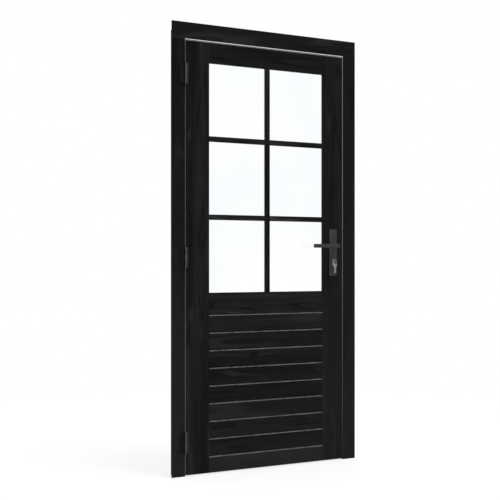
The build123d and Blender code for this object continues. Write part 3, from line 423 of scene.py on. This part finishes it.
# Painted light and shade: the lock side's strip darker towards the foot, the hinge side's lighter.
seal_painted_light = hinge_strip * hinge_side + lock_strip * (1 - hinge_side)
seal_painted_light = (seal_painted_light + dust_and_foot_grey.between(*noise_middle, *seal_dust)).between(0.0, 1.0)
strip = seal_painted_light.blend(seal_painted_shade, seal_lit_grey)
pores = noise(place, seal_pores_per_metre, detail=2)
# Painted highlight: the strip under the head is near white.
set_surface(start, {
    "Base Color": height.between(*head_strip).blend(strip, seal_painted_highlight),
    "Roughness": dust_and_foot_grey.between(*noise_middle, *seal_roughness),
    "Normal": bumps(pores, seal_pore_strength, seal_pore_depth),
})
dress("edge_seals", seal_rubber)

# Strike plate: a strip of brushed steel with two openings for the latch and the bolt, let in
# flush with the lock jamb and held by a screw at each end.
plate_screw_head = 0.004
plate_screw_shank = 0.002
dress("strike_plate", lock_steel)
recessed_screws("strike_plate_screws", "strike_screws", (-1, 0, 0), plate_screw_head,
                plate_screw_shank, lock_steel, "frame", "lock_steel")

# Hinges: steel plates and rolled knuckles, painted over with the frame, with a painted highlight of
# lighter grey round the knuckles. One plate is screwed to the jamb's face and the other into the
# leaf's edge.
hinge_dark = (0.003, 0.003, 0.003, 1)
hinge_light = (0.006, 0.006, 0.006, 1)
# A painted highlight on the knuckles.
hinge_highlight = (0.072, 0.072, 0.072, 1)
hinge_gloss = 0.06
round_begins = (0.02, 0.2)
round_ends = (0.93, 0.98)
highlight_patch_levels = (0.6, 1.0)
coat_clouds_per_metre = 40
coat_roughness = (0.34, 0.44)
peel_per_metre = 900
peel_strength = 0.2
peel_depth = 0.0001


def black_metal(name, dark, light, round_side_highlight, gloss):
    """Black paint on metal with a faint peel, and a painted highlight on its round sides."""
    material, start = new_finish(name)
    place = start.node("ShaderNodeTexCoord", {}, {}, "Object")
    facing = start.node("ShaderNodeTexCoord", {}, {}, "Normal")
    sideways = start.node("ShaderNodeSeparateXYZ", {}, {0: facing}, "X")
    turned = sideways * sideways
    # Painted highlight: round surfaces facing sideways are lightened in patches.
    rounded = turned.between(*round_begins) * turned.between(*round_ends, 1.0, 0.0)
    cloud = noise(place, coat_clouds_per_metre, detail=3)
    coat = cloud.between(*noise_middle).blend(dark, light)
    highlight_patches = rounded * cloud.between(*noise_middle, *highlight_patch_levels)
    set_surface(start, {
        "Base Color": highlight_patches.blend(coat, round_side_highlight),
        "Roughness": cloud.between(*noise_middle, *coat_roughness),
        "Specular IOR Level": gloss,
        "Normal": bumps(noise(place, peel_per_metre, detail=2), peel_strength, peel_depth),
    })
    return material


hinge_black = black_metal("hinge_black", hinge_dark, hinge_light, hinge_highlight, hinge_gloss)
for level in ("bottom", "middle", "top"):
    dress(f"hinge_frame_plate_{level}", hinge_black)
    dress(f"hinge_leaf_plate_{level}", hinge_black)
dress("hinge_pins", hinge_black)
recessed_screws("jamb_hinge_screws", "hinge_frame_screws", (0, -1, 0), plate_screw_head,
                plate_screw_shank, hinge_black, "frame", "black_hardware")
recessed_screws("leaf_hinge_screws", "hinge_leaf_screws", (-1, 0, 0), plate_screw_head,
                plate_screw_shank, hinge_black, "leaf", "black_hardware")

# Stiles, rails and panel boards: the leaf's own frame, tenoned together, with tongued boards let
# in below the middle rail. The same black paint lies over softwood with its grain along each piece.
# Rows: grain, shift, lighting factor (painted light and shade per piece), lighter grey at the foot.
leaf_grains = {
    "hinge_stile": ("Z", 10.9, 1.2, 0.05),
    "lock_stile": ("Z", 14.3, 0.75, 0.14),
    "top_rail": ("X", 17.1, 1.15, 0.0),
    "middle_rail": ("X", 20.6, 1.85, 0.0),
    "bottom_rail": ("X", 23.8, 0.9, 0.30),
}
board_count = 8
board_shift = 41.0
board_step = 3.7
board_lighting = 1.05
board_foot_grey = 0.05
# The share of painted highlight on the leaf's upward arrises.
leaf_arris_highlight = 1.0
for number in range(1, board_count + 1):
    shift = board_shift + number * board_step
    leaf_grains[f"panel_board_{number}"] = ("X", shift, board_lighting, board_foot_grey)
for node, (along, shift, piece_lighting, dust_and_foot_grey) in leaf_grains.items():
    dress(node, painted_timber(f"{node}_paint", along, shift, piece_lighting, dust_and_foot_grey, leaf_arris_highlight))

# Glazing bars and beads: shallow bars halved over each other, and splayed beads behind each pane,
# painted with the leaf.
# Rows: grain, shift and lighting factor, painted light and shade for how brightly each bar is lit.
bar_grains = {
    "upright_bar": ("Z", 27.2, 0.7),
    "cross_bar_lower": ("X", 30.4, 2.6),
    "cross_bar_upper": ("X", 33.9, 2.6),
    "glazing_beads": ("Z", 37.5, 1.0),
}
# No lighter grey at the foot of the bars and beads.
bar_foot_grey = 0.0
# No painted arris highlight on the bars and beads.
bar_arris_highlight = 0.0
for node, (along, shift, piece_lighting) in bar_grains.items():
    dress(node, painted_timber(f"{node}_paint", along, shift, piece_lighting, bar_foot_grey, bar_arris_highlight))

# Panes: clear float glass held in the rebates by the beads. A trace of blue and a slow ripple are
# all that tells it from the open air.
glass_clear = (1.0, 1.0, 1.0, 1)
glass_tint = (0.93, 0.975, 0.99, 1)
glass_bending = 1.3
glass_roughness = (0.0, 0.02)
tint_span = (0.42, 0.62)
tints_per_metre = 1.7
ripples_per_metre = 5
ripple_strength = 0.05
ripple_depth = 0.0005
pane_glass, start = new_finish("pane_glass")
place = start.node("ShaderNodeTexCoord", {}, {}, "Object")
cloud = noise(place, tints_per_metre, detail=2)
set_surface(start, {
    "Base Color": cloud.between(*tint_span).blend(glass_clear, glass_tint),
    "Roughness": cloud.between(0.0, 1.0, *glass_roughness),
    "Transmission Weight": 1.0,
    "IOR": glass_bending,
    "Normal": bumps(noise(place, ripples_per_metre, detail=1), ripple_strength, ripple_depth),
})
for row in ("bottom", "middle", "top"):
    for column in ("left", "right"):
        dress(f"pane_{row}_{column}", pane_glass)

# Lock: a steel case in the stile's edge behind its forend, with the latch, its spring, the
# deadbolt and the follower that the spindle turns.
cylinder_screw_head = 0.0045
cylinder_screw_shank = 0.0025
for node in ("lock_case", "lock_forend", "latch_bolt", "deadbolt", "lock_follower",
             "lever_spindle", "lever_grub_screw"):
    dress(node, lock_steel)
recessed_screws("forend_face_screws", "forend_screws", (1, 0, 0), plate_screw_head,
                plate_screw_shank, lock_steel, "leaf", "lock_steel")
recessed_screws("cylinder_fixing_screw", "cylinder_screw", (1, 0, 0), cylinder_screw_head,
                cylinder_screw_shank, lock_steel, "leaf", "lock_steel")

# Latch spring: a strip of spring steel bent into a V, between the back of the case and the lug of
# the latch. It closes as the lever draws the latch in.
spring_half = 0.0004
spring_steps = 12


def drawn_through(mesh, sections):
    """Extrudes the first section's face to each of the next ones, which have as many points."""
    end = mesh.faces.new([mesh.verts.new(point) for point in sections[0]])
    rim = list(end.edges)
    for section in sections[1:]:
        end = bmesh.ops.extrude_discrete_faces(mesh, faces=[end])["faces"][0]
        for vertex, point in zip(end.verts, section):
            vertex.co = point
    bmesh.ops.contextual_create(mesh, geom=rim)


spring_low, spring_high = (Vector(corner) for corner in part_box("latch_spring"))
seat = Vector((spring_low.x + spring_half, 0, spring_high.z))
fold = Vector((spring_low.x + spring_half, 0, spring_low.z + 2 * spring_half))
tip = Vector((spring_high.x - 2 * spring_half, 0, spring_high.z - spring_half))
bend = [seat, fold + Vector((0, 0, 2 * spring_half))]
bend += [fold.lerp(tip, (step + 1) / spring_steps) for step in range(spring_steps)]
sections = []
for number, point in enumerate(bend):
    along = (bend[min(number + 1, len(bend) - 1)] - bend[max(number - 1, 0)]).normalized()
    out = Vector((along.z, 0, -along.x)) * spring_half
    corners = ((out, spring_low.y), (out, spring_high.y),
               (-out, spring_high.y), (-out, spring_low.y))
    sections.append([point + offset + Vector((0, level, 0)) for offset, level in corners])
spring_mesh = bmesh.new()
drawn_through(spring_mesh, sections)
bmesh.ops.recalc_face_normals(spring_mesh, faces=spring_mesh.faces)
spring = new_piece("bent_latch_spring", spring_mesh, lock_steel, None, "lock_steel", "latch_spring")
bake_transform(spring)

# Cylinder: a brass body of profile section with a plug at each end and the cam between them,
# nickel plated. One long screw through the forend holds it in the case.
nickel_dark = (0.24, 0.24, 0.24, 1)
nickel_light = (0.38, 0.38, 0.38, 1)
nickel_roughness = (0.24, 0.38)
marks_per_metre = 700
mark_strength = 0.1
mark_depth = 0.00005
key_nickel, start = new_finish("key_nickel")
place = start.node("ShaderNodeTexCoord", {}, {}, "Object")
marks = noise(place, marks_per_metre, detail=4, roughness=0.7)
set_surface(start, {
    "Base Color": marks.between(*noise_middle).blend(nickel_dark, nickel_light),
    "Metallic": 1.0,
    "Roughness": marks.between(*noise_middle, *nickel_roughness),
    "Normal": bumps(marks, mark_strength, mark_depth),
})
for node in ("cylinder_body", "outer_plug", "inner_plug", "cylinder_cam"):
    dress(node, key_nickel)

# Keys: pressed from brass and nickel plated, with a round bow, a groove milled along both faces of
# the blade and cuts in one edge. One stands in the cylinder; the other hangs from its ring, turned.
bow_radius = 0.0095
bow_hole = 0.0025
hole_offset = -0.004
bow_points = 48
key_half = 0.0011
key_ease = 0.0003
blade_half = 0.004
blade_inset = 0.0001
blade_overlap = 0.001
groove_low = -0.0022
groove_high = -0.0004
groove_depth = 0.0005
cut_start = 0.0145
cut_pitch = 0.0038
cut_depths = (0.0014, 0.0024, 0.0010, 0.0028, 0.0019)
cut_slope = 0.0013
cut_floor = cut_slope / 3
key_tip = 0.0025
key_tip_top = 0.3 * blade_half
lock_key_reach = 0.029
lock_key_spot = (0.38, -0.037, 0.998)
spare_key_reach = 0.0369
spare_key_spot = (0.38, -0.041, 0.9729)
spare_key_turn = math.radians(27)
quarter_turn = math.radians(90)
half_turn = math.radians(180)


def bow_circle(mesh, centre, radius, level):
    """Edges of a circle round the bow or its hole, at one level of the key's thickness."""
    place = Matrix.Translation((centre, 0, level))
    circle = bmesh.ops.create_circle(mesh, segments=bow_points, radius=radius, matrix=place)
    return list({edge for vertex in circle["verts"] for edge in vertex.link_edges})


def blade_section(reach, top):
    """The blade's section at this reach from the bow's middle, with its two grooves."""
    face = key_half - blade_inset
    floor = face - groove_depth
    side = [(-blade_half, face), (groove_low, face), (groove_low, floor), (groove_high, floor),
            (groove_high, face), (top, face)]
    points = side + [(across, -level) for across, level in reversed(side)]
    return [Vector((reach, across, level)) for across, level in points]


def cut_key(name, node, length, place):
    """Makes a key along local X, with its cuts up and its face to local Z, and puts it in place."""
    mesh = bmesh.new()
    inner = key_half - key_ease
    levels = ((key_ease, -key_half), (0.0, -inner), (0.0, inner), (key_ease, key_half))
    hole = [bow_circle(mesh, hole_offset, bow_hole + ease, level) for ease, level in levels]
    rim = [bow_circle(mesh, 0.0, bow_radius - ease, level) for ease, level in levels]
    for circles in (hole, rim):
        for low, high in zip(circles, circles[1:]):
            bmesh.ops.bridge_loops(mesh, edges=low + high)
    for side in (0, -1):
        bmesh.ops.triangle_fill(mesh, use_beauty=True, edges=hole[side] + rim[side])
    stations = [(bow_radius - blade_overlap, blade_half)]
    for number, depth in enumerate(cut_depths):
        middle = cut_start + number * cut_pitch
        if middle + cut_slope < length - key_tip:
            stations.append((middle - cut_slope, blade_half))
            stations.append((middle - cut_floor, blade_half - depth))
            stations.append((middle + cut_floor, blade_half - depth))
            stations.append((middle + cut_slope, blade_half))
    stations.append((length - key_tip, blade_half))
    stations.append((length, key_tip_top))
    drawn_through(mesh, [blade_section(reach, top) for reach, top in stations])
    bmesh.ops.recalc_face_normals(mesh, faces=mesh.faces)
    bmesh.ops.transform(mesh, matrix=place, verts=mesh.verts)
    new_piece(name, mesh, key_nickel, "key", "nickel", node)


lock_key_place = (
    Matrix.Translation(lock_key_spot)
    @ Matrix.Rotation(quarter_turn, 4, "Z")
    @ Matrix.Rotation(quarter_turn, 4, "X")
)
cut_key("cut_lock_key", "lock_key", lock_key_reach, lock_key_place)
spare_key_place = (
    Matrix.Translation(spare_key_spot)
    @ Matrix.Rotation(spare_key_turn, 4, "Z")
    @ Matrix.Rotation(quarter_turn, 4, "Y")
    @ Matrix.Rotation(half_turn, 4, "X")
)
cut_key("cut_spare_key", "spare_key", spare_key_reach, spare_key_place)
dress("key_ring", key_nickel)

# Handles: long plates clamped through the stile by two bolts, with a lever in front and a bent pull
# behind it. All are steel, sprayed satin black in a slightly lighter coat than the timber.
handle_bolt_head = 0.005
handle_bolt_shank = 0.0025
metal_dark = (0.020, 0.020, 0.021, 1)
metal_light = (0.034, 0.034, 0.035, 1)
# A painted highlight in lighter grey on the round sides of the handles.
metal_highlight = (0.070, 0.070, 0.071, 1)
metal_gloss = 0.15
hardware_black = black_metal("hardware_black", metal_dark, metal_light, metal_highlight, metal_gloss)
for node in ("outer_handle_plate", "inner_handle_plate", "outer_lever", "pull_handle"):
    dress(node, hardware_black)
recessed_screws("plate_bolts", "handle_bolts", (0, 1, 0), handle_bolt_head, handle_bolt_shank,
                hardware_black, "leaf", "black_hardware")

# Floor: a pale round sheet that runs out into the white of the background and keeps the door's soft
# shadow. Metal and glass show it as white as the camera does.
floor_points = 96
floor_radius = 3.6
floor_fade = (0.8, 0.9 * floor_radius)
floor_shadow = 0.3
floor_colour = (0.86, 0.86, 0.86, 1)
white = (1, 1, 1, 1)


def seen_rays(start):
    """1 where the camera looks, straight, in a reflection or through glass; 0 for stray light."""
    rays = [start.node("ShaderNodeLightPath", {}, {}, f"Is {kind} Ray")
            for kind in ("Camera", "Glossy", "Transmission")]
    return start.sum("MAXIMUM", start.sum("MAXIMUM", rays[0], rays[1]), rays[2])


floor_mesh = bmesh.new()
bmesh.ops.create_circle(floor_mesh, cap_ends=True, segments=floor_points, radius=floor_radius)
floor_data = bpy.data.meshes.new("floor")
floor_mesh.to_mesh(floor_data)
floor_mesh.free()
floor = bpy.data.objects.new("floor", floor_data)
bpy.context.scene.collection.objects.link(floor)
floor_paint, start = new_finish("floor_pale")
place = start.node("ShaderNodeTexCoord", {}, {}, "Object")
away = start.node("ShaderNodeVectorMath", {"operation": "LENGTH"}, {0: place}, "Value")
share = seen_rays(start) * away.between(*floor_fade, 1 - floor_shadow, 1.0)
matt = start.node("ShaderNodeBsdfDiffuse", {}, {"Color": floor_colour})
glow = start.node("ShaderNodeEmission", {}, {"Color": white, "Strength": 1.0})
mixed = start.node("ShaderNodeMixShader", {}, {0: share, 1: matt, 2: glow})
start.node("ShaderNodeOutputMaterial", {}, {"Surface": mixed})
floor_data.materials.append(floor_paint)

# Studio: a white room all round, which the camera, the metal and the glass see at full white and
# which lights the door a little more softly.
room_light = 0.75
world = bpy.data.worlds.new("studio")
world.use_nodes = True
world.node_tree.nodes.clear()
bpy.context.scene.world = world
start = Shade(world.node_tree)
strength = seen_rays(start).between(0.0, 1.0, room_light, 1.0)
room = start.node("ShaderNodeBackground", {}, {"Color": white, "Strength": strength})
start.node("ShaderNodeOutputWorld", {}, {"Surface": room})

# Softboxes: one overhead, two on the left that light the eased edges and the grooves, and a large
# one behind for the back of the leaf. None of them is seen, straight or through the glass. Each has
# its place, the spot that it is aimed at, its width and its power.
softboxes = {
    "overhead": ((0.5, -1.4, 4.6), (0.0, 0.0, 1.2), 2.0, 120.0),
    "left_low": ((-3.4, -1.7, 0.5), (-0.4, 0.0, 0.4), 0.9, 20.0),
    "left_high": ((-3.0, -2.3, 2.6), (0.4, 0.0, 1.6), 0.9, 20.0),
    "behind": ((2.2, 3.4, 2.4), (0.0, 0.0, 1.0), 1.8, 90.0),
}
for name, (stand, target, width, power) in softboxes.items():
    lamp = bpy.data.lights.new(name, "AREA")
    lamp.shape = "SQUARE"
    lamp.size = width
    lamp.energy = power
    holder = bpy.data.objects.new(name, lamp)
    holder.location = stand
    aim = Vector(target) - Vector(stand)
    holder.rotation_euler = aim.to_track_quat("-Z", "Y").to_euler()
    holder.visible_camera = False
    holder.visible_transmission = False
    bpy.context.scene.collection.objects.link(holder)

# Camera: level, a little below the middle of the door and well to its left, as the photo was taken.
# A small shift keeps the uprights upright and the door where it stands in the frame.
sensor_width = 36.0
lens_length = 79.02
camera_place = (-2.736, -4.549, 0.993)
camera_turn = (math.radians(90), 0.0, math.radians(-30.217))
horizon_shift = 0.023
lens = bpy.data.cameras.new("camera")
lens.sensor_width = sensor_width
lens.lens = lens_length
lens.shift_y = horizon_shift
camera = bpy.data.objects.new("camera", lens)
camera.location = camera_place
camera.rotation_euler = camera_turn
bpy.context.scene.collection.objects.link(camera)
bpy.context.scene.camera = camera
bpy.context.scene.view_settings.view_transform = "Standard"
